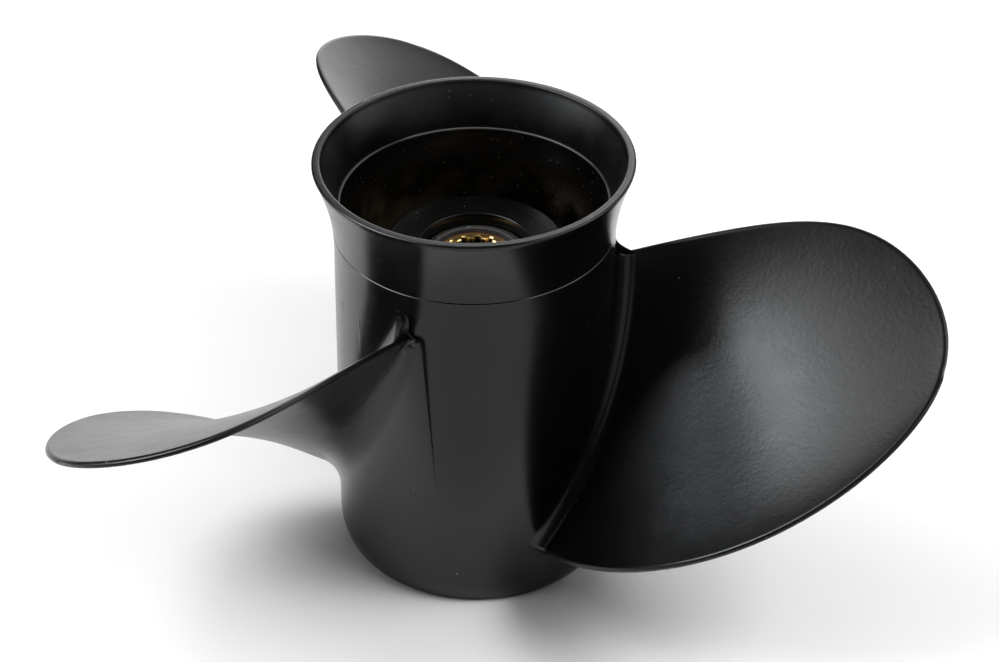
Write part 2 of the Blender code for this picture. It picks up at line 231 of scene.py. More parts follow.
def web(index):
    """One web: a thin wall that widens into the hub and into the barrel."""
    inner = HUB_RADIUS - WEB_SINK
    outer = barrel_radius(WEB_FORWARD_Z) - WALL / 2 - WEB_OUTER_SINK
    bore_radius = barrel_radius(WEB_MIDDLE_Z) - WALL
    bm, far_side = slab(WEB_COLUMNS, WEB_ROWS)
    for vert in bm.verts:
        radius = inner + (outer - inner) * (vert.co.x + 1) / 2
        gap = min(radius - HUB_RADIUS, bore_radius - radius)
        reach = max(WEB_FILLET - max(gap, 0.0), 0.0)
        half = WEB_THICKNESS / 2 + WEB_FILLET - sqrt(WEB_FILLET ** 2 - reach ** 2)
        height = (vert.co.y + 1) / 2
        z = WEB_FORWARD_Z + (WEB_AFT_Z - WEB_FORWARD_Z) * height + reach * (2 * height - 1) * WEB_FILLET_RUN
        vert.co = (radius, half if vert in far_side else -half, z)
    return swung(f"web_{index + 1}", bm, ROOT_ANGLE + 360 * index / BLADES)


inner_hub = turned("inner_hub", hub_outline(), HUB_STEPS)
webs = [web(index) for index in range(BLADES)]

# The blades
# Three raked blades of one right-hand screw. Their aft faces are ruled by the lists below,
# each a polynomial in the span fraction, 0 at the barrel and 1 at the tip. The outline's edge
# is ground to a small radius and the root runs into the barrel in a hollow fillet.
TIP_RADIUS = 0.1746
ROOT_RADIUS = 0.0534
SKEW = (0.0, -5.9, 27.8, -12.3)
HALF_WIDTH = (33.4, 0.6, -22.1, 10.8, -7.2)
TIP_ROUNDNESS = 5.8
HEIGHT = (0.0722, 0.0441, 0.0143, -0.0126)
PITCH = (0.5402, -0.0815, 0.0529)
CAMBER = (0.0041, -0.0062, 0.0055, 0.0006)
REFLEX = (0.0039, -0.0103, 0.0017, 0.0026)
THICKNESS = (0.0046, 0.0060, -0.0084)
EDGE_THICKNESS = 0.0021
TIP_INSET = 0.0001
BEVEL_WIDTH = 0.0011
BEVEL_SLOPE = 0.62
BEVEL_BLEND = 0.00015
AFT_EDGE_ROUNDING = 0.0004
FORWARD_EDGE_ROUNDING = 0.0008
PRESSURE_FILLET = (0.0080, 0.0010, -0.0010)
SUCTION_FILLET = (0.0105, -0.0010, -0.0055)
END_FILLET_SHARE = 0.45
END_FILLET_WIDTH = 0.30
FILLET_END_ANGLE = 5.0
ROOT_DEPTH = 0.0012
FILLET_STEPS = 12
SPAN_STEPS = 44
CHORD_STEPS = 72
PAD_FADE_RADIUS = 0.0534
PAD_FADE_Z = 0.0530
PAD_DRAFT = 0.5
PAD_AFT_Z = 0.1208
PAD_CORNER = 0.0028


def polynomial(terms, x):
    """Sum of the terms, each times the next power of x."""
    return sum(term * x ** power for power, term in enumerate(terms))


def held(share):
    """The share, held between nothing and all."""
    return min(max(share, 0.0), 1.0)


def pad_radius(z):
    """Outer radius of the metal under a blade, which widens aft as the barrel narrows."""
    return PAD_FADE_RADIUS + (z - PAD_FADE_Z) * tan(radians(PAD_DRAFT))


def outer_wall(z):
    """The barrel's radius, or the pad's where it stands out further, down from its aft edge."""
    under_edge = held((PAD_AFT_Z - z) / PAD_CORNER)
    return barrel_radius(z) + max(pad_radius(z) - barrel_radius(z), 0.0) * under_edge


def half_angle(x):
    """Half of the blade's width as an angle round the shaft, in radians."""
    return radians(polynomial(HALF_WIDTH, x)) * sqrt(max(1 - x ** TIP_ROUNDNESS, 0.0))


def pressure_face(span, chord):
    """Point of the blade's aft face. chord is -1 at the leading edge, 1 at the trailing."""
    x = max(span, 0.0)
    relative_width = half_angle(x) / radians(HALF_WIDTH[0])
    angle = radians(ROOT_ANGLE + polynomial(SKEW, x)) + chord * half_angle(x)
    z = polynomial(HEIGHT, span) + polynomial(PITCH, x) / (2 * pi) * chord * half_angle(x)
    z += polynomial(CAMBER, x) * (chord ** 2 - 1) * relative_width
    z += polynomial(REFLEX, x) * (chord ** 3 - chord) * relative_width
    radius = ROOT_RADIUS + (TIP_RADIUS - ROOT_RADIUS) * span
    return Vector((radius * cos(angle), radius * sin(angle), z))


def face_normal(span, chord):
    """Unit normal of the aft face, on its aft side."""
    step = 0.002
    inner = min(span, 0.98)
    along = pressure_face(inner + step, chord) - pressure_face(inner - step, chord)
    across = pressure_face(inner, chord + step) - pressure_face(inner, chord - step)
    return along.cross(across).normalized()


def half_width(x):
    """Half of the blade's width along its face."""
    radius = ROOT_RADIUS + (TIP_RADIUS - ROOT_RADIUS) * x
    return half_angle(x) * hypot(radius, polynomial(PITCH, x) / (2 * pi))


def edge_distance(span, chord):
    """How far a point of the face lies from the blade's edge."""
    step = 0.0004
    x = min(max(span, step), 1 - 2 * step)
    narrowing = (half_width(x + step) - half_width(x - step)) / (2 * step * (TIP_RADIUS - ROOT_RADIUS))
    return half_width(x) * (1 - chord ** 2) / (2 * hypot(narrowing, chord) + 1e-9)


def rounding(distance, radius):
    """How far a rounded edge falls away from the face near the outline."""
    reach = max(radius - distance, 0.0)
    return radius - sqrt(radius ** 2 - reach ** 2)


def aft_edge_fall(distance):
    """How far the aft face falls away at its edge: a ground bevel that ends in a small radius."""
    reach = BEVEL_WIDTH - distance
    bevel = BEVEL_SLOPE * (reach + hypot(reach, BEVEL_BLEND)) / 2
    return bevel + rounding(distance, AFT_EDGE_ROUNDING)


def thickness(span, chord):
    """Depth of the blade under its aft face."""
    middle = polynomial(THICKNESS, max(span, 0.0))
    return EDGE_THICKNESS + (middle - EDGE_THICKNESS) * (1 - chord ** 2)


def fillet_station(row, radius):
    """Height above the barrel and reach along it of one row of the root's fillet."""
    end = radians(FILLET_END_ANGLE)
    if row < 2:
        height = (-ROOT_DEPTH, -2 * radius * (1 - cos(end)))[row]
        return height, radius * (1 - sin(end)) + 3 * radius * (1 - cos(end)) / tan(end)
    turn = end + (pi / 2 - end) * (row - 2) / FILLET_STEPS
    return radius * (1 - cos(turn)), radius * (1 - sin(turn))


def root_spread(point, normal, chord, forward_side):
    """Which way the fillet runs out over the wall: off the face, and past the blade's ends."""
    outward = Vector((point.x, point.y, 0)).normalized()
    off_face = (normal - outward * normal.dot(outward)).normalized()
    ahead = outward.cross(off_face)
    if ahead.z < 0:
        ahead = -ahead
    end = held((abs(chord) - 1) / END_FILLET_WIDTH + 1)
    share = END_FILLET_SHARE * end ** 2 * (3 - 2 * end)
    if forward_side == (chord > 0):
        return off_face
    return off_face + ahead * (share if chord > 0 else -share)


def onto_wall(point, spread, wall, height, fillet):
    """The point moved along the round wall, and set at its height over it near the foot."""
    radius = hypot(point.x, point.y)
    around = Vector((-point.y, point.x, 0)) / radius
    moved = Matrix.Rotation(spread.dot(around) / radius, 3, "Z") @ point
    moved.z += spread.z
    foot_share = 1 - held(height / fillet)
    outward = Vector((moved.x, moved.y, 0)) / radius
    return moved + outward * (wall(moved.z) + height - radius) * foot_share


def blade_point(row, chord, forward_side):
    """Point of the blade's skin in a row from inside the barrel's wall to the tip."""
    wall = outer_wall if forward_side else barrel_radius
    fillet = polynomial(SUCTION_FILLET if forward_side else PRESSURE_FILLET, chord)
    rows_in_fillet = FILLET_STEPS + 2
    height, reach = fillet_station(min(row, rows_in_fillet), fillet)
    radius = wall(pressure_face(0.0, chord).z) + height
    if row > rows_in_fillet:
        run = (row - rows_in_fillet) / SPAN_STEPS
        radius += (TIP_RADIUS - TIP_INSET - radius) * (2 * run - run ** 2)
    span = (radius - ROOT_RADIUS) / (TIP_RADIUS - ROOT_RADIUS)
    point = pressure_face(span, chord)
    normal = face_normal(span, chord)
    from_edge = edge_distance(span, chord)
    if forward_side:
        point -= normal * (thickness(span, chord) - rounding(from_edge, FORWARD_EDGE_ROUNDING))
        normal = -normal
    else:
        point -= normal * aft_edge_fall(from_edge)
    spread = root_spread(point, normal, chord, forward_side) * reach
    return onto_wall(point, spread, wall, height, fillet)


def blade(index):
    """One blade: the aft face as a sheet, extruded to its forward side."""
    rows = FILLET_STEPS + 2 + SPAN_STEPS
    bm, forward_side = slab(CHORD_STEPS, rows)
    for vert in bm.verts:
        row = round((vert.co.y + 1) / 2 * rows)
        vert.co = blade_point(row, sin(vert.co.x * pi / 2), vert in forward_side)
    return swung(f"blade_{index + 1}", bm, 360 * index / BLADES)


blades = [blade(index) for index in range(BLADES)]

# The root pads
# The metal under each blade is straight-sided, because the mould draws forward there. It
# stands a little proud of the tapering barrel and ends in a rounded corner by the blade. Behind
# each trailing edge a short rib of the same casting runs up the barrel.
PAD_FORWARD_Z = 0.0300
PAD_START_ANGLE = -61.0
PAD_END_ANGLE = 10.0
PAD_LEAN = 6.0
PAD_ROUNDING = 0.0006
PAD_EDGE = 0.0002
PAD_EDGE_SLOPE = 4
PAD_COLUMNS = 80
PAD_ROWS = 50
BURIED_RADIUS = BARREL_AFT_RADIUS - WALL / 2
GUSSET_AFT_Z = 0.1302
GUSSET_FORWARD_Z = 0.1225
GUSSET_TOP_ANGLE = -1.0
GUSSET_LEAN = 3.2
GUSSET_LEFT_WIDTH = 1.6
GUSSET_RIGHT_WIDTH = 5.6
GUSSET_HEIGHT = 0.0088
GUSSET_STEP = 0.0008
GUSSET_SINK = 0.0003
GUSSET_CREST_CURVE = 1.3
GUSSET_SIDE_CURVE = 1.5
GUSSET_COLUMNS = 16
GUSSET_ROWS = 24
SHARP_ANGLE = 40


def root_pad(index):
    """The metal under one blade, whose outer skin dives into the barrel past a rounded edge."""
    bm, outer_side = slab(PAD_COLUMNS, PAD_ROWS)
    for vert in bm.verts:
        from_end = ((1 - vert.co.x) / 2) ** 2
        from_top = ((1 - vert.co.y) / 2) ** 2
        degrees = PAD_END_ANGLE - (PAD_END_ANGLE - PAD_START_ANGLE) * from_end
        chord = (degrees - ROOT_ANGLE) / HALF_WIDTH[0]
        top = min(PAD_AFT_Z, pressure_face(0.0, chord).z - EDGE_THICKNESS)
        z = top - (top - PAD_FORWARD_Z) * from_top
        degrees += PAD_LEAN * (PAD_AFT_Z - z) / (PAD_AFT_Z - PAD_FORWARD_Z)
        across = radians(PAD_END_ANGLE - PAD_START_ANGLE) * from_end * BARREL_AFT_RADIUS
        corner = hypot(max(PAD_CORNER - across, 0.0), max(PAD_CORNER - (top - z), 0.0))
        radius = BURIED_RADIUS
        if vert in outer_side:
            from_edge = PAD_CORNER - corner
            radius = pad_radius(z) - rounding(max(from_edge, 0.0), PAD_ROUNDING)
            radius -= PAD_EDGE_SLOPE * max(PAD_EDGE - from_edge, 0.0)
            radius = max(radius, BURIED_RADIUS + PAD_EDGE)
        vert.co = (radius * cos(radians(degrees)), radius * sin(radians(degrees)), z)
    return swung(f"root_pad_{index + 1}", bm, 360 * index / BLADES)


def corner_gusset(index):
    """The rib behind one trailing edge: a crest that sinks into the barrel, with hollow sides."""
    bm, outer_side = slab(GUSSET_COLUMNS, GUSSET_ROWS)
    for vert in bm.verts:
        down = (1 - vert.co.y) / 2
        z = GUSSET_AFT_Z - (GUSSET_AFT_Z - GUSSET_FORWARD_Z) * down
        width = GUSSET_LEFT_WIDTH
        if vert.co.x > 0:
            width += (GUSSET_RIGHT_WIDTH - GUSSET_LEFT_WIDTH) * (1 - down)
        degrees = GUSSET_TOP_ANGLE + GUSSET_LEAN * down + width * vert.co.x
        radius = BURIED_RADIUS
        if vert in outer_side:
            crest = GUSSET_STEP + (GUSSET_HEIGHT - GUSSET_STEP) * down ** GUSSET_CREST_CURVE
            rise = (crest + GUSSET_SINK) * (1 - abs(vert.co.x)) ** GUSSET_SIDE_CURVE
            radius = barrel_radius(z) - GUSSET_SINK + rise
        vert.co = (radius * cos(radians(degrees)), radius * sin(radians(degrees)), z)
    return swung(f"corner_gusset_{index + 1}", bm, 360 * index / BLADES)


def fuse(piece, others):
    """Joins the shapes into the piece as one closed skin, as they are poured in one mould."""
    for other in others:
        union = piece.modifiers.new("fuse_" + other.name, "BOOLEAN")
        union.operation = "UNION"
        union.solver = "EXACT"
        union.object = other
    bpy.context.view_layer.update()
    shape = piece.evaluated_get(bpy.context.evaluated_depsgraph_get())
    mesh = bpy.data.meshes.new_from_object(shape)
    piece.modifiers.clear()
    piece.data = mesh
    for other in others:
        bpy.data.objects.remove(other)


def smoothed(piece, degrees):
    """Shades the piece smooth, apart from corners sharper than the angle."""
    piece.data.shade_smooth()
    piece.data.set_sharp_from_angle(angle=radians(degrees))


pads = [root_pad(index) for index in range(BLADES)]
gussets = [corner_gusset(index) for index in range(BLADES)]
fuse(casting, [inner_hub] + webs + pads + gussets + blades)
smoothed(casting, SHARP_ANGLE)

# The paint
# The casting is sprayed with black enamel. It is smooth on the turned barrel and coarser on the
# blades, dusty around the mouth, sooty inside, rubbed thin on the edges and chipped in places.
DARK_ENAMEL = (0.0006, 0.0007, 0.0007, 1)
LIGHT_ENAMEL = (0.0012, 0.0012, 0.0013, 1)
# Rubbed paint on the edges, also used for the painted highlight along the throat's ledge.
RUBBED_AND_HIGHLIGHT_ENAMEL = (0.13, 0.13, 0.13, 1)
# Brown soot inside the barrel; the same colour is the painted shade in the rubber's recess.
SOOT_AND_SHADE_COLOR = (0.010, 0.007, 0.003, 1)
DUST_COLOR = (0.30, 0.30, 0.29, 1)
METAL_COLOR = (0.40, 0.41, 0.42, 1)
BARREL_ROUGHNESS = 0.24
BLADE_ROUGHNESS = 0.305
SOOT_ROUGHNESS = 0.70
DUST_ROUGHNESS = 0.80
PAINT_DEPTH = 0.000025
MOUTH_CONE = 0.36
# Where each part of the finish begins and where it is full, as a radius or a height.
BLADE_RADII = (0.0545, 0.0650)
BORE_RADII = (0.0502, 0.0498)
MOUTH_SKIN = (-0.0028, -0.0038)
MOUTH_FOOT = (THROAT_Z - 0.0015, THROAT_Z - 0.0005)
SOOT_HEIGHTS = (0.147, 0.118)
SOOT_RADII = (0.0335, 0.0460)
# Where the painted highlight lies along the small ledge in the throat.
LEDGE_HIGHLIGHT_MIDDLE = THROAT_Z - 0.0002
LEDGE_HIGHLIGHT_HEIGHTS = (0.0004, 0.0002)
LEDGE_HIGHLIGHT_RADII = (0.0497, 0.0494)
# The middle and size of each chip.
CHIPS = (((-0.1233, -0.1200, 0.1249), 0.0006), ((-0.1178, -0.1219, 0.1270), 0.0006),
         ((-0.0075, -0.0538, 0.0147), 0.0003))


def feed(tree, value, socket):
    """Joins an output to the socket, or sets the socket to a plain value."""
    if isinstance(value, bpy.types.NodeSocket):
        tree.links.new(value, socket)
    else:
        socket.default_value = value


def fill(tree, made, values):
    """Gives each value to the node's socket of that name, with _ for a space."""
    for name, value in values.items():
        feed(tree, value, made.inputs[name.replace("_", " ")])


def add(tree, kind, operation=None, **values):
    """A new node of the tree, with its values filled in."""
    made = tree.nodes.new("ShaderNode" + kind)
    if operation:
        made.operation = operation
    fill(tree, made, values)
    return made


def combine(tree, operation, *values):
    """The result of an operation on the values, such as their sum or product."""
    made = add(tree, "Math", operation)
    for value, socket in zip(values, made.inputs):
        feed(tree, value, socket)
    return made.outputs["Value"]


def between(tree, value, start, end, low=0.0, high=1.0):
    """The value carried from start..end to low..high, smooth at both ends."""
    made = add(tree, "MapRange", Value=value, From_Min=start, From_Max=end, To_Min=low, To_Max=high)
    made.interpolation_type = "SMOOTHSTEP"
    return made.outputs["Result"]


def blend(tree, share, first, second):
    """The colour part of the way from the first to the second."""
    made = tree.nodes.new("ShaderNodeMix")
    made.data_type = "RGBA"
    for value, socket in zip((share, first, second), (made.inputs[0], made.inputs[6], made.inputs[7])):
        feed(tree, value, socket)
    return made.outputs[2]


def noise(tree, place, scale, detail=2.0, roughness=0.5):
    """The value of a noise whose lumps are about 1 / scale metres across."""
    made = add(tree, "TexNoise", Vector=place, Scale=scale, Detail=detail, Roughness=roughness)
    return made.outputs["Fac"]


def distances(tree, place):
    """How far the place lies from the shaft's axis, and how far aft."""
    split = add(tree, "SeparateXYZ", Vector=place).outputs
    flat = add(tree, "CombineXYZ", X=split["X"], Y=split["Y"]).outputs["Vector"]
    return add(tree, "VectorMath", "LENGTH", Vector=flat).outputs["Value"], split["Z"]


def finish(name):
    """A new finish: its material, the nodes, the shader and the place on the piece."""
    material = bpy.data.materials.new(name)
    material.use_nodes = True
    tree = material.node_tree
    return material, tree, tree.nodes["Principled BSDF"], add(tree, "TexCoord").outputs["Object"]


def uneven(tree, shader, height, depth):
    """Raises the finish by the height, at a depth in metres."""
    bump = add(tree, "Bump", Height=height, Distance=depth)
    feed(tree, bump.outputs["Normal"], shader.inputs["Normal"])


def effect(name, inputs, outputs):
    """An empty node group with the named sockets, its inputs and its outputs."""
    tree = bpy.data.node_groups.new(name, "ShaderNodeTree")
    for way, sockets in (("INPUT", inputs), ("OUTPUT", outputs)):
        for label, kind in sockets.items():
            tree.interface.new_socket(label, in_out=way, socket_type="NodeSocket" + kind)
    return tree, tree.nodes.new("NodeGroupInput").outputs, tree.nodes.new("NodeGroupOutput").inputs


def use(tree, group, **values):
    """The outputs of a node group in the tree."""
    made = add(tree, "Group")
    made.node_tree = group
    fill(tree, made, values)
    return made.outputs


def specks_effect():
    """Scattered grains of dust or grit."""
    tree, given, results = effect("specks", {"Place": "Vector", "Scale": "Float", "Size": "Float",
                                             "Share": "Float"}, {"Mask": "Float"})
    cells = add(tree, "TexVoronoi", Vector=given["Place"], Scale=given["Scale"])
    lot = add(tree, "SeparateXYZ", Vector=cells.outputs["Color"]).outputs["X"]
    chosen = combine(tree, "LESS_THAN", lot, given["Share"])
    near = combine(tree, "LESS_THAN", cells.outputs["Distance"], given["Size"])
    feed(tree, combine(tree, "MULTIPLY", chosen, near), results["Mask"])
    return tree


def rubbed_effect():
    """Where handling rubs an edge: along convex corners, broken up by noise."""
    tree, given, results = effect("rubbed_edges", {"Place": "Vector", "Start": "Float", "Full": "Float"},
                                  {"Mask": "Float"})
    sharpness = tree.nodes.new("ShaderNodeNewGeometry").outputs["Pointiness"]
    edge = between(tree, sharpness, given["Start"], given["Full"])
    patches = between(tree, noise(tree, given["Place"], 260.0, 4.0, 0.65), 0.46, 0.62)
    feed(tree, combine(tree, "MULTIPLY", edge, patches), results["Mask"])
    return tree


def orange_peel_effect():
    """The skin of sprayed paint: small even lumps on a slow waviness."""
    tree, given, results = effect("orange_peel", {"Place": "Vector", "Lumps": "Float", "Waves": "Float"},
                                  {"Height": "Float"})
    fine = noise(tree, given["Place"], 560.0, 3.0, 0.6)
    slow = noise(tree, given["Place"], 70.0, 2.0, 0.5)
    height = combine(tree, "ADD", combine(tree, "MULTIPLY", fine, given["Lumps"]),
                     combine(tree, "MULTIPLY", slow, given["Waves"]))
    feed(tree, height, results["Height"])
    return tree


specks = specks_effect()
rubbed = rubbed_effect()
orange_peel = orange_peel_effect()


def chips(tree, place):
    """Where the paint is knocked off: a ragged spot round each chip's middle."""
    chipped = 0.0
    for middle, size in CHIPS:
        away = add(tree, "VectorMath", "DISTANCE")
        feed(tree, place, away.inputs[0])
        feed(tree, middle, away.inputs[1])
        ragged = combine(tree, "ADD", away.outputs["Value"],
                         combine(tree, "MULTIPLY", noise(tree, place, 900.0, 3.0), size))
        chipped = combine(tree, "MAXIMUM", chipped, combine(tree, "LESS_THAN", ragged, 1.5 * size))
    return chipped


def black_paint():
    """Black enamel with the dust, soot, rubbing and chips that the casting carries, and a painted highlight
    along the throat's ledge.
    """
    material, tree, shader, place = finish("black_paint")
    radius, z = distances(tree, place)
    on_blade = between(tree, radius, *BLADE_RADII)
    in_bore = between(tree, radius, *BORE_RADII)
    inner_slope = combine(tree, "SUBTRACT", radius, combine(tree, "MULTIPLY", z, MOUTH_CONE))
    in_mouth = combine(tree, "MULTIPLY", between(tree, inner_slope, *MOUTH_SKIN),
                       between(tree, z, *MOUTH_FOOT))
    inside = combine(tree, "MAXIMUM", in_bore, in_mouth)

    smears = noise(tree, place, 45.0, 3.0, 0.6)
    soot = combine(tree, "MULTIPLY", in_bore, between(tree, z, *SOOT_HEIGHTS))
    soot = combine(tree, "MULTIPLY", soot, between(tree, smears, 0.30, 0.62))
    soot = combine(tree, "MULTIPLY", soot, between(tree, radius, *SOOT_RADII, 0.10, 1.0))
    dust_share = between(tree, inside, 0.0, 1.0, 0.03, 0.55)
    dust = use(tree, specks, Place=place, Scale=400.0, Size=0.07, Share=dust_share)["Mask"]
    worn = use(tree, rubbed, Place=place, Start=0.56, Full=0.66)["Mask"]
    worn = combine(tree, "MULTIPLY", worn, between(tree, in_bore, 0.0, 1.0, 0.5, 0.0))
    # A painted highlight: a lighter line along the throat's ledge, in the rubbed edges' colour.
    from_ledge = combine(tree, "ABSOLUTE", combine(tree, "SUBTRACT", z, LEDGE_HIGHLIGHT_MIDDLE))
    ledge_highlight = combine(tree, "MULTIPLY", between(tree, from_ledge, *LEDGE_HIGHLIGHT_HEIGHTS),
                       between(tree, radius, *LEDGE_HIGHLIGHT_RADII))
    ledge_highlight = combine(tree, "MULTIPLY", ledge_highlight, between(tree, smears, 0.30, 0.60, 0.08, 0.45))
    chipped = chips(tree, place)

    color = blend(tree, smears, DARK_ENAMEL, LIGHT_ENAMEL)
    color = blend(tree, soot, color, SOOT_AND_SHADE_COLOR)
    color = blend(tree, combine(tree, "MAXIMUM", worn, ledge_highlight), color, RUBBED_AND_HIGHLIGHT_ENAMEL)
    color = blend(tree, combine(tree, "MULTIPLY", dust, 0.45), color, DUST_COLOR)
    color = blend(tree, chipped, color, METAL_COLOR)
    feed(tree, color, shader.inputs["Base Color"])
    feed(tree, chipped, shader.inputs["Metallic"])

    gloss = between(tree, noise(tree, place, 120.0, 4.0, 0.6), 0.25, 0.75, -0.02, 0.02)
    gloss = combine(tree, "ADD", gloss,
                    between(tree, on_blade, 0.0, 1.0, BARREL_ROUGHNESS, BLADE_ROUGHNESS))
    smeared = between(tree, noise(tree, place, 28.0, 3.0, 0.6), 0.35, 0.65, 0.27, 0.42)
    dull = combine(tree, "MAXIMUM", combine(tree, "MULTIPLY", in_mouth, smeared),
                   combine(tree, "MULTIPLY", soot, SOOT_ROUGHNESS))
    dull = combine(tree, "MAXIMUM", dull, combine(tree, "MULTIPLY", dust, DUST_ROUGHNESS))
    feed(tree, combine(tree, "MAXIMUM", gloss, dull), shader.inputs["Roughness"])

    skin = use(tree, orange_peel, Place=place, Lumps=between(tree, on_blade, 0.0, 1.0, 0.25, 2.4),
               Waves=between(tree, on_blade, 0.0, 1.0, 0.2, 2.6))["Height"]
    skin = combine(tree, "ADD", skin, combine(tree, "MULTIPLY", dust, 3.0))
    pimple_share = between(tree, on_blade, 0.0, 1.0, 0.02, 0.30)
    pimples = use(tree, specks, Place=place, Scale=85.0, Size=0.03, Share=pimple_share)["Mask"]
    skin = combine(tree, "ADD", skin, combine(tree, "MULTIPLY", pimples, 5.0))
    skin = combine(tree, "SUBTRACT", skin, combine(tree, "MULTIPLY", chipped, 4.0))
    uneven(tree, shader, skin, PAINT_DEPTH)
    return material


casting.data.materials.clear()
casting.data.materials.append(black_paint())
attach(casting, "root")
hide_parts("propeller_casting")

# The rubber bushing
# A ring of moulded rubber pressed between the inner hub and the sleeve, which gives way before
# the gears do. It has rounded ends, a raised inner lip and a ragged edge of flash round that lip.
SLEEVE_RADIUS = 0.0155
FIT_GAP = 0.0003
BUSHING_AFT_Z = 0.1243
BUSHING_ROUNDING = 0.0010
BUSHING_STEPS = 288
LIP_RADIUS = 0.0170
LIP_HEIGHT = 0.0008
LIP_ROUNDING = 0.0003
LIP_FILLET = 0.0004
FLASH_ANGLES = (98.0, 143.0)
FLASH_HEIGHT = 0.0007
FLASH_WIDTH = 0.0011
FLASH_START = 0.4
DARK_RUBBER = (0.012, 0.013, 0.015, 1)
LIGHT_RUBBER = (0.030, 0.032, 0.035, 1)
RUBBED_RUBBER = (0.10, 0.11, 0.12, 1)
RUBBER_DUST = (0.18, 0.18, 0.18, 1)
RUBBER_DEPTH = 0.00004
# Where painted shade darkens the rubber, in the recess between its lip and the hub's bore.
RECESS_SHADE_RADII = (LIP_RADIUS, 0.0176)


def bushing_outline():
    """The rubber ring's section."""
    outer = HUB_BORE_RADIUS - FIT_GAP
    inner = SLEEVE_RADIUS + FIT_GAP
    forward = HUB_FORWARD_Z + HUB_STOP_LENGTH + FIT_GAP
    top = BUSHING_AFT_Z + LIP_HEIGHT
    outline = [(inner, forward), (outer, forward)]
    outline += arc(outer - BUSHING_ROUNDING, BUSHING_AFT_Z - BUSHING_ROUNDING, BUSHING_ROUNDING, 0, 90, 6)
    outline += arc(LIP_RADIUS + LIP_FILLET, BUSHING_AFT_Z + LIP_FILLET, LIP_FILLET, 270, 180, 4)
    outline += arc(LIP_RADIUS - LIP_ROUNDING, top - LIP_ROUNDING, LIP_ROUNDING, 0, 90, 4)
    return outline + arc(inner + LIP_ROUNDING, top - LIP_ROUNDING, LIP_ROUNDING, 90, 180, 4)


def raise_flash(vertices):
    """Lifts the lip's top into a low sliver at each flash."""
    for vert in vertices:
        if vert.co.z > BUSHING_AFT_Z + FLASH_START * LIP_HEIGHT:
            for angle in FLASH_ANGLES:
                middle = Vector((cos(radians(angle)), sin(radians(angle)), 0)) * LIP_RADIUS
                away = (Vector((vert.co.x, vert.co.y, 0)) - middle).length
                vert.co.z += FLASH_HEIGHT * max(1 - away / FLASH_WIDTH, 0.0)


def rubber():
    """Dull moulded rubber with a greyish bloom and dust on it, and painted shade in the recess outside its
    lip.
    """
    material, tree, shader, place = finish("black_rubber")
    radius = distances(tree, place)[0]
    bloom = noise(tree, place, 300.0, 4.0, 0.6)
    dust = use(tree, specks, Place=place, Scale=600.0, Size=0.10, Share=0.15)["Mask"]
    worn = use(tree, rubbed, Place=place, Start=0.52, Full=0.60)["Mask"]
    color = blend(tree, bloom, DARK_RUBBER, LIGHT_RUBBER)
    color = blend(tree, worn, color, RUBBED_RUBBER)
    color = blend(tree, dust, color, RUBBER_DUST)
    # Painted shade: the rubber darkens outward of the lip, down in the recess under the hub's end.
    color = blend(tree, between(tree, radius, *RECESS_SHADE_RADII, 0.0, 0.9), color, SOOT_AND_SHADE_COLOR)
    feed(tree, color, shader.inputs["Base Color"])
    feed(tree, between(tree, bloom, 0.3, 0.7, 0.60, 0.78), shader.inputs["Roughness"])
    skin = combine(tree, "ADD", noise(tree, place, 1500.0, 3.0), combine(tree, "MULTIPLY", bloom, 1.5))
    uneven(tree, shader, skin, RUBBER_DEPTH)
    return material


bushing = turned("moulded_bushing", bushing_outline(), BUSHING_STEPS)
raise_flash(bushing.data.vertices)
smoothed(bushing, SHARP_ANGLE)
bushing.data.materials.append(rubber())
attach(bushing, "root")
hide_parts("rubber_bushing")

# The splined sleeve
# A brass tube in the rubber, broached with the splines that the propeller shaft drives. Its aft
# end is faced on a lathe and its edges are broken.
SLEEVE_FORWARD_Z = 0.0030
SLEEVE_AFT_Z = 0.1240
SLEEVE_CHAMFER = 0.0009
FACE_EDGE_WIDTH = 0.00036
FACE_EDGE_DROP = 0.00015
SPLINE_TEETH = 15
SPLINE_ROOT_RADIUS = 0.0127
SPLINE_TOOTH_RADIUS = 0.0110
SPLINE_CHAMFER = 0.0004
TOOTH_ANGLE = 2.0
TOOTH_SLOPE = 0.85
TOOTH_WIDENING = 0.10
STEPS_PER_TOOTH = 24
SLEEVE_SHARP_ANGLE = 30
CLEAN_BRASS = (0.92, 0.66, 0.26, 1)
TARNISHED_BRASS = (0.50, 0.20, 0.05, 1)
# Near-black brass for the painted shade down the sleeve's bore, and where that shade begins and is full.
BORE_SHADE_BRASS = (0.014, 0.008, 0.003, 1)
STAIN_RADII = (0.0118, 0.0150)
BORE_SHADE_HEIGHTS = (SLEEVE_AFT_Z - 0.0005, SLEEVE_AFT_Z - 0.0030)
LATHE_PITCH = 0.00011
BRASS_DEPTH = 0.000004


def spline_depth(angle):
    """How far the bore stands inwards of its gaps: flat teeth with sloping sides."""
    wave = cos(SPLINE_TEETH * (angle - radians(TOOTH_ANGLE)))
    return (SPLINE_ROOT_RADIUS - SPLINE_TOOTH_RADIUS) * held(0.5 + TOOTH_SLOPE * (wave + TOOTH_WIDENING))


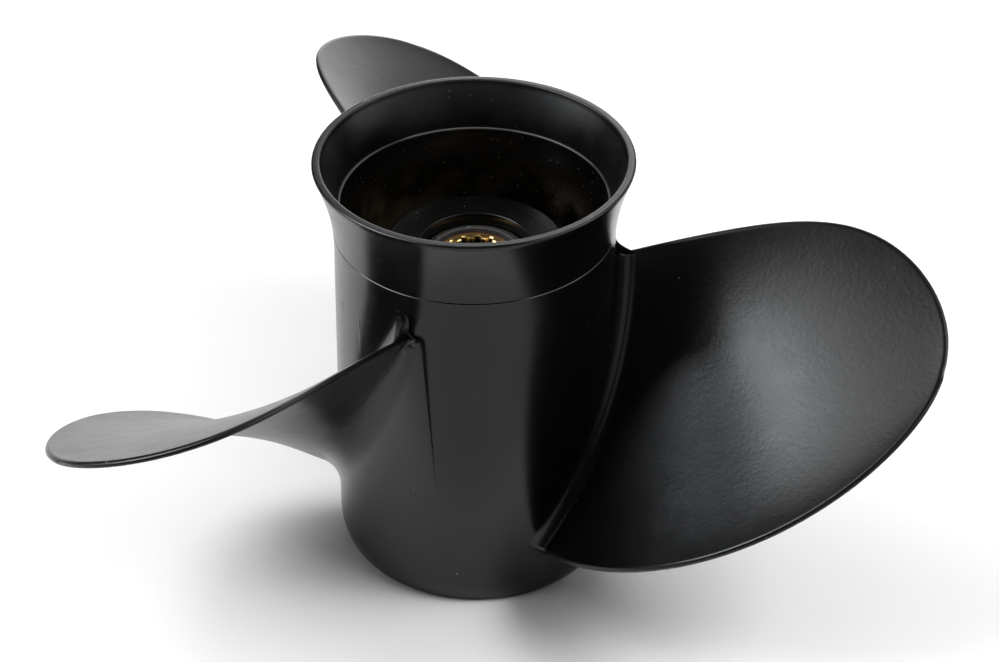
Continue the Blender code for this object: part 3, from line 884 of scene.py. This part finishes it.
def splined_tube(name):
    """The sleeve: its section carried round the axis, with teeth at the points marked 1."""
    bore = SPLINE_ROOT_RADIUS
    face = SLEEVE_RADIUS - SLEEVE_CHAMFER
    outline = [(face, SLEEVE_FORWARD_Z, 0),
               (SLEEVE_RADIUS, SLEEVE_FORWARD_Z + SLEEVE_CHAMFER, 0),
               (SLEEVE_RADIUS, SLEEVE_AFT_Z - SLEEVE_CHAMFER, 0),
               (face, SLEEVE_AFT_Z - FACE_EDGE_DROP, 0),
               (face - FACE_EDGE_WIDTH, SLEEVE_AFT_Z, 0),
               (bore + SPLINE_CHAMFER, SLEEVE_AFT_Z, 1),
               (bore, SLEEVE_AFT_Z - SPLINE_CHAMFER, 1),
               (bore, (SLEEVE_AFT_Z + SLEEVE_FORWARD_Z) / 2, 1),
               (bore, SLEEVE_FORWARD_Z, 1)]
    bm = bmesh.new()
    steps = SPLINE_TEETH * STEPS_PER_TOOTH
    bmesh.ops.create_grid(bm, x_segments=steps, y_segments=len(outline), size=1.0)
    for vert in bm.verts:
        angle = pi * (vert.co.x + 1)
        radius, z, toothed = outline[round((vert.co.y + 1) / 2 * len(outline)) % len(outline)]
        radius -= toothed * spline_depth(angle)
        vert.co = (radius * cos(angle), radius * sin(angle), z)
    bmesh.ops.remove_doubles(bm, verts=bm.verts, dist=0.000001)
    return placed(name, bm)


def lathe_rings_effect():
    """Fine rings that a facing cut leaves round the axis."""
    tree, given, results = effect("lathe_rings", {"Place": "Vector", "Pitch": "Float"}, {"Height": "Float"})
    radius = distances(tree, given["Place"])[0]
    turns = combine(tree, "DIVIDE", radius, given["Pitch"])
    feed(tree, combine(tree, "PINGPONG", turns, 1.0), results["Height"])
    return tree


lathe_rings = lathe_rings_effect()


def brass():
    """Brass, bright on the teeth and tarnished brown towards the rubber, with painted shade darkening it to
    near black down the bore.
    """
    material, tree, shader, place = finish("brass")
    radius, z = distances(tree, place)
    clouds = noise(tree, place, 420.0, 4.0, 0.62)
    stain = combine(tree, "ADD", combine(tree, "MULTIPLY", between(tree, radius, *STAIN_RADII), 0.75),
                    combine(tree, "MULTIPLY", clouds, 0.45))
    stain = between(tree, stain, 0.35, 0.95)
    color = blend(tree, stain, CLEAN_BRASS, TARNISHED_BRASS)
    # Painted shade: the brass darkens from just under the faced end down the bore.
    bore_shade = between(tree, z, *BORE_SHADE_HEIGHTS)
    color = blend(tree, combine(tree, "MULTIPLY", bore_shade, 0.96), color, BORE_SHADE_BRASS)
    feed(tree, color, shader.inputs["Base Color"])
    shader.inputs["Metallic"].default_value = 1.0
    feed(tree, between(tree, stain, 0.0, 1.0, 0.30, 0.50), shader.inputs["Roughness"])
    rings = use(tree, lathe_rings, Place=place, Pitch=LATHE_PITCH)["Height"]
    uneven(tree, shader, combine(tree, "ADD", rings, clouds), BRASS_DEPTH)
    return material


sleeve = splined_tube("broached_sleeve")
smoothed(sleeve, SLEEVE_SHARP_ANGLE)
sleeve.data.materials.append(brass())
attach(sleeve, "root")
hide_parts("splined_sleeve")

# The studio
# The propeller stands on a white sheet, seen from above its aft end. Round softboxes light it
# from both sides and from behind, and the paint mirrors lamps and the pale walls of the room.
CAMERA_LENS = 78.35
CAMERA_SENSOR = 36.0
CAMERA_AIM = Vector((0.0091, 0.0, 0.0890))
CAMERA_DISTANCE = 0.8219
CAMERA_ELEVATION = 36.235
CAMERA_ROLL = -0.223
SHEET_SIZE = 4.0
SHEET_WHITES = ((0.90, 0.90, 0.90, 1), (0.93, 0.93, 0.93, 1))
# Painted shade on the sheet in front of the propeller: its grey, and the y where it begins and where it is
# full.
SHEET_SHADE_GREY = (0.50, 0.50, 0.50, 1)
SHEET_SHADE_FRONT = (-0.09, -0.15)
LIGHT_AIM = Vector((0.05, 0.0, 0.09))
WALL_DISTANCE = 1.40
WALL_SIZE = 1.10
KEY_DISTANCE = 1.20
KEY_COLOR = (0.94, 1.0, 1.06)
# Azimuth, elevation, width and brightness of each light panel, 1 being white. The first ones
# only light the floor and the propeller, and the others are only mirrored in it.
FILL_LIGHTS = ((170, 65, 0.7, 3.50), (190, 35, 0.7, 4.60), (190, 50, 0.7, 6.63), (-22, 50, 0.7, 6.32),
               (0, 50, 0.7, 7.04), (90, 45, 0.7, 4.23), (0, 80, 1.4, 1.01))
REFLECTED_WALLS = ((0, 80, WALL_SIZE, 1.89), (0, 28, WALL_SIZE, 1.16), (45, 28, WALL_SIZE, 0.65),
                   (135, 55, WALL_SIZE, 0.27), (180, 28, WALL_SIZE, 1.02), (180, 55, WALL_SIZE, 2.25),
                   (90, 8, WALL_SIZE, 2.52), (-45, 28, WALL_SIZE, 0.41))
REFLECTED_LAMPS = ((-27, 55, 0.4, 5.00), (6, 50, 0.5, 4.00), (-90, 34, 0.5, 0.50), (88, 34, 0.4, 2.20))
REFLECTED_KEYS = ((184, 43.5, 0.3, 1.69), (192, 40, 0.3, 2.90), (184, 43.5, 0.7, 6.90))


def photo_camera():
    """A camera at the picture's angle."""
    data = bpy.data.cameras.new("photo_camera")
    data.lens = CAMERA_LENS
    data.sensor_width = CAMERA_SENSOR
    camera = bpy.data.objects.new("photo_camera", data)
    bpy.context.scene.collection.objects.link(camera)
    tilt = Matrix.Rotation(radians(90 - CAMERA_ELEVATION), 4, "X")
    back = tilt @ Vector((0, 0, 1))
    camera.matrix_world = (Matrix.Translation(CAMERA_AIM + back * CAMERA_DISTANCE) @ tilt
                           @ Matrix.Rotation(radians(CAMERA_ROLL), 4, "Z"))
    return camera


def white_sheet():
    """A matt white background sheet, faintly uneven, with painted shade greying it in front of the picture.
    """
    material, tree, shader, place = finish("white_sheet")
    mottle = noise(tree, place, 6.0, 3.0, 0.5)
    white = blend(tree, mottle, *SHEET_WHITES)
    # Painted shade: the sheet turns grey towards the front.
    shaded_front = between(tree, add(tree, "SeparateXYZ", Vector=place).outputs["Y"], *SHEET_SHADE_FRONT)
    feed(tree, blend(tree, shaded_front, white, SHEET_SHADE_GREY), shader.inputs["Base Color"])
    feed(tree, between(tree, mottle, 0.3, 0.7, 0.85, 0.95), shader.inputs["Roughness"])
    return material


def softboxes(name, panels, distance=WALL_DISTANCE, mirrored=True, lighting=True, color=(1, 1, 1)):
    """Round light panels turned to the propeller."""
    for azimuth, elevation, size, radiance in panels:
        a, e = radians(azimuth), radians(elevation)
        toward = Vector((cos(e) * cos(a), cos(e) * sin(a), sin(e)))
        data = bpy.data.lights.new(name, "AREA")
        data.shape = "DISK"
        data.size = size
        data.energy = radiance * pi * pi * (size / 2) ** 2
        data.color = color
        lamp = bpy.data.objects.new(name, data)
        bpy.context.scene.collection.objects.link(lamp)
        lamp.visible_glossy = mirrored
        lamp.visible_diffuse = lighting
        lamp.matrix_world = (Matrix.Translation(LIGHT_AIM + toward * distance)
                             @ toward.to_track_quat("Z", "Y").to_matrix().to_4x4())


def room():
    """The room round the table: plain white where it is seen, nearly dark as a light."""
    world = bpy.data.worlds.new("room")
    world.use_nodes = True
    tree = world.node_tree
    tree.nodes.clear()
    dark = add(tree, "Background", Color=(0.02, 0.02, 0.02, 1))
    white = add(tree, "Background", Color=(1, 1, 1, 1))
    either = add(tree, "MixShader", Fac=add(tree, "LightPath").outputs["Is Camera Ray"])
    tree.links.new(dark.outputs["Background"], either.inputs[1])
    tree.links.new(white.outputs["Background"], either.inputs[2])
    tree.links.new(either.outputs["Shader"], add(tree, "OutputWorld").inputs["Surface"])
    return world


bpy.context.scene.camera = photo_camera()
sheet = bmesh.new()
bmesh.ops.create_grid(sheet, x_segments=1, y_segments=1, size=SHEET_SIZE)
floor = placed("floor", sheet)
floor.data.materials.append(white_sheet())
softboxes("fill_light", FILL_LIGHTS, mirrored=False)
softboxes("reflected_wall", REFLECTED_WALLS, lighting=False)
softboxes("reflected_lamp", REFLECTED_LAMPS, lighting=False)
softboxes("reflected_key", REFLECTED_KEYS, KEY_DISTANCE, lighting=False, color=KEY_COLOR)
bpy.context.scene.world = room()
bpy.context.scene.view_settings.view_transform = "Standard"
